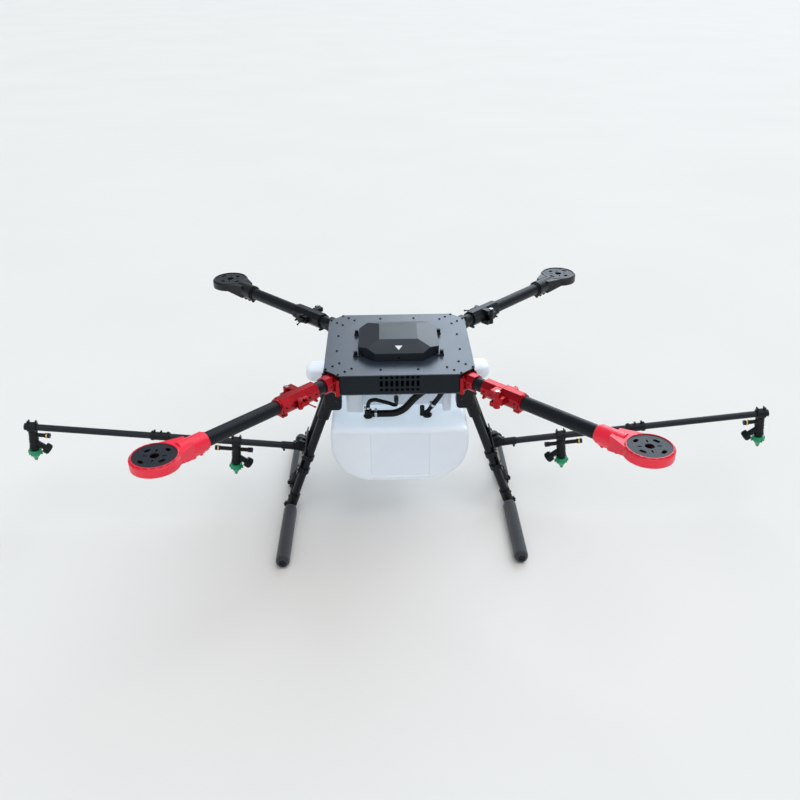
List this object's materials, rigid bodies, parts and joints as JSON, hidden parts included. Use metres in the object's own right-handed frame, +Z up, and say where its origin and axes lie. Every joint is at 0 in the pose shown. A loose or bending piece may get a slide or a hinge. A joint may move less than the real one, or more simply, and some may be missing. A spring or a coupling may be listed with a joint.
{
  "type": "agricultural spray drone",
  "caption": "Folding multirotor spray airframe: square body with faceted cover, folding arms with motor plates, translucent tank, skid legs and side booms with nozzles.",
  "frame": {"origin": "on the ground plane under the middle of the body", "axes": "+X along the right-hand spray boom in the view from the front, -Y forward, +Z up"},
  "size_m": [1.825, 1.016, 0.4703],
  "materials": {
    "plate_black": "satin black anodised sheet, grey-blue sheen",
    "panel_slate": "matte dark slate powder coat",
    "screw_black": "blackened screws",
    "cover_slate": "fine-textured dark slate moulding",
    "knob_black": "black knurled",
    "red_anodised": "glossy red anodised",
    "black_anodised": "satin black anodised",
    "pin_steel": "bright steel",
    "carbon_tube": "dark woven carbon under satin resin",
    "red_plastic": "coral red satin plastic",
    "black_plastic": "black satin plastic",
    "motor_plate_dark": "dark satin sheet",
    "foam": "fine-pored dark foam",
    "tank_white": "translucent milky white",
    "cap_black": "black moulded screw cap",
    "hose_black": "black satin hose",
    "nozzle_green": "bright green",
    "circuit": "green board",
    "pump_black": "black paint"
  },
  "bodies": {
    "airframe": {"top_plate": "plate_black", "bottom_plate": "plate_black", "wall_panels": "panel_slate", "plate_screws": "screw_black", "power_board": "circuit", "flight_controller": "black_plastic", "pump": "pump_black", "front_root_brackets": "red_anodised", "rear_root_brackets": "black_anodised", "front_fold_bases": "red_anodised", "rear_fold_bases": "black_anodised", "stub_tubes": "carbon_tube", "arm_hinge_pins": "pin_steel", "leg_mounts": "black_plastic", "leg_tubes": "carbon_tube", "leg_tees": "black_plastic", "skid_tubes": "carbon_tube", "foam_sleeves": "foam", "boom_brackets": "black_anodised", "tank": "tank_white", "tank_hoses": "hose_black", "hose_fittings": "black_plastic"},
    "front_right_arm": {"front_right_fold_head": "red_anodised", "front_right_arm_tube": "carbon_tube", "front_right_motor_mount": "red_plastic", "front_right_motor_plate": "motor_plate_dark"},
    "front_right_latch": {"front_right_latch_lever": "red_anodised"},
    "rear_right_arm": {"rear_right_fold_head": "black_anodised", "rear_right_arm_tube": "carbon_tube", "rear_right_motor_mount": "black_plastic", "rear_right_motor_plate": "motor_plate_dark"},
    "rear_right_latch": {"rear_right_latch_lever": "black_anodised"},
    "rear_left_arm": {"rear_left_fold_head": "black_anodised", "rear_left_arm_tube": "carbon_tube", "rear_left_motor_mount": "black_plastic", "rear_left_motor_plate": "motor_plate_dark"},
    "rear_left_latch": {"rear_left_latch_lever": "black_anodised"},
    "front_left_arm": {"front_left_fold_head": "red_anodised", "front_left_arm_tube": "carbon_tube", "front_left_motor_mount": "red_plastic", "front_left_motor_plate": "motor_plate_dark"},
    "front_left_latch": {"front_left_latch_lever": "red_anodised"},
    "right_boom": {"right_boom_root": "black_plastic", "right_boom_tubes": "carbon_tube", "right_boom_coupler": "black_plastic", "right_nozzle_bodies": "black_plastic"},
    "right_inner_cap": {"right_inner_nozzle_cap": "nozzle_green"},
    "right_outer_cap": {"right_outer_nozzle_cap": "nozzle_green"},
    "left_boom": {"left_boom_root": "black_plastic", "left_boom_tubes": "carbon_tube", "left_boom_coupler": "black_plastic", "left_nozzle_bodies": "black_plastic"},
    "left_inner_cap": {"left_inner_nozzle_cap": "nozzle_green"},
    "left_outer_cap": {"left_outer_nozzle_cap": "nozzle_green"},
    "cover": {"cover_shell": "cover_slate"},
    "front_left_knob": {"cover_knob_front_left": "knob_black"},
    "front_right_knob": {"cover_knob_front_right": "knob_black"},
    "rear_left_knob": {"cover_knob_rear_left": "knob_black"},
    "rear_right_knob": {"cover_knob_rear_right": "knob_black"},
    "cap": {"filler_cap": "cap_black"}
  },
  "joints": [
    {"name": "front_right_arm_fold", "type": "hinge", "parent": "airframe", "child": "front_right_arm", "pos_m": [0.20223, -0.24042, 0.412], "axis": [0, 0, -1], "range_deg": [0, 120]},
    {"name": "front_right_latch_turn", "type": "hinge", "parent": "front_right_arm", "child": "front_right_latch", "pos_m": [0.24501, -0.20895, 0.412], "axis": [0, 0, -1], "range_deg": [0, 90]},
    {"name": "rear_right_arm_fold", "type": "hinge", "parent": "airframe", "child": "rear_right_arm", "pos_m": [0.24042, 0.20223, 0.412], "axis": [0, 0, -1], "range_deg": [0, 120]},
    {"name": "rear_right_latch_turn", "type": "hinge", "parent": "rear_right_arm", "child": "rear_right_latch", "pos_m": [0.20895, 0.24501, 0.412], "axis": [0, 0, -1], "range_deg": [0, 90]},
    {"name": "rear_left_arm_fold", "type": "hinge", "parent": "airframe", "child": "rear_left_arm", "pos_m": [-0.20223, 0.24042, 0.412], "axis": [0, 0, -1], "range_deg": [0, 120]},
    {"name": "rear_left_latch_turn", "type": "hinge", "parent": "rear_left_arm", "child": "rear_left_latch", "pos_m": [-0.24501, 0.20895, 0.412], "axis": [0, 0, -1], "range_deg": [0, 90]},
    {"name": "front_left_arm_fold", "type": "hinge", "parent": "airframe", "child": "front_left_arm", "pos_m": [-0.24042, -0.20223, 0.412], "axis": [0, 0, -1], "range_deg": [0, 120]},
    {"name": "front_left_latch_turn", "type": "hinge", "parent": "front_left_arm", "child": "front_left_latch", "pos_m": [-0.20895, -0.24501, 0.412], "axis": [0, 0, -1], "range_deg": [0, 90]},
    {"name": "right_boom_fold", "type": "hinge", "parent": "airframe", "child": "right_boom", "pos_m": [0.245, 0, 0.16798], "axis": [0, -1, 0], "range_deg": [0, 84]},
    {"name": "right_inner_cap_turn", "type": "hinge", "parent": "right_boom", "child": "right_inner_cap", "pos_m": [0.40862, 0, 0.10501], "axis": [-0.1063, 0, 0.9943], "range_deg": [0, 90]},
    {"name": "right_outer_cap_turn", "type": "hinge", "parent": "right_boom", "child": "right_outer_cap", "pos_m": [0.89783, 0, 0.15729], "axis": [-0.1063, 0, 0.9943], "range_deg": [0, 90]},
    {"name": "left_boom_fold", "type": "hinge", "parent": "airframe", "child": "left_boom", "pos_m": [-0.245, 0, 0.16798], "axis": [0, 1, 0], "range_deg": [0, 84]},
    {"name": "left_inner_cap_turn", "type": "hinge", "parent": "left_boom", "child": "left_inner_cap", "pos_m": [-0.40862, 0, 0.10501], "axis": [0.1063, 0, 0.9943], "range_deg": [0, 90]},
    {"name": "left_outer_cap_turn", "type": "hinge", "parent": "left_boom", "child": "left_outer_cap", "pos_m": [-0.89783, 0, 0.15729], "axis": [0.1063, 0, 0.9943], "range_deg": [0, 90]},
    {"name": "cover_lift", "type": "slide", "parent": "airframe", "child": "cover", "axis": [0, 0, 1], "range_m": [0, 0.12]},
    {"name": "front_left_knob_turn", "type": "hinge", "parent": "cover", "child": "front_left_knob", "pos_m": [-0.097, -0.0685, 0.443], "axis": [0, 0, 1], "continuous": true},
    {"name": "front_right_knob_turn", "type": "hinge", "parent": "cover", "child": "front_right_knob", "pos_m": [0.097, -0.0685, 0.443], "axis": [0, 0, 1], "continuous": true},
    {"name": "rear_left_knob_turn", "type": "hinge", "parent": "cover", "child": "rear_left_knob", "pos_m": [-0.097, 0.0465, 0.443], "axis": [0, 0, 1], "continuous": true},
    {"name": "rear_right_knob_turn", "type": "hinge", "parent": "cover", "child": "rear_right_knob", "pos_m": [0.097, 0.0465, 0.443], "axis": [0, 0, 1], "continuous": true},
    {"name": "filler_cap_lift", "type": "slide", "parent": "airframe", "child": "cap", "axis": [0, 0, 1], "range_m": [0, 0.06]}
  ]
}
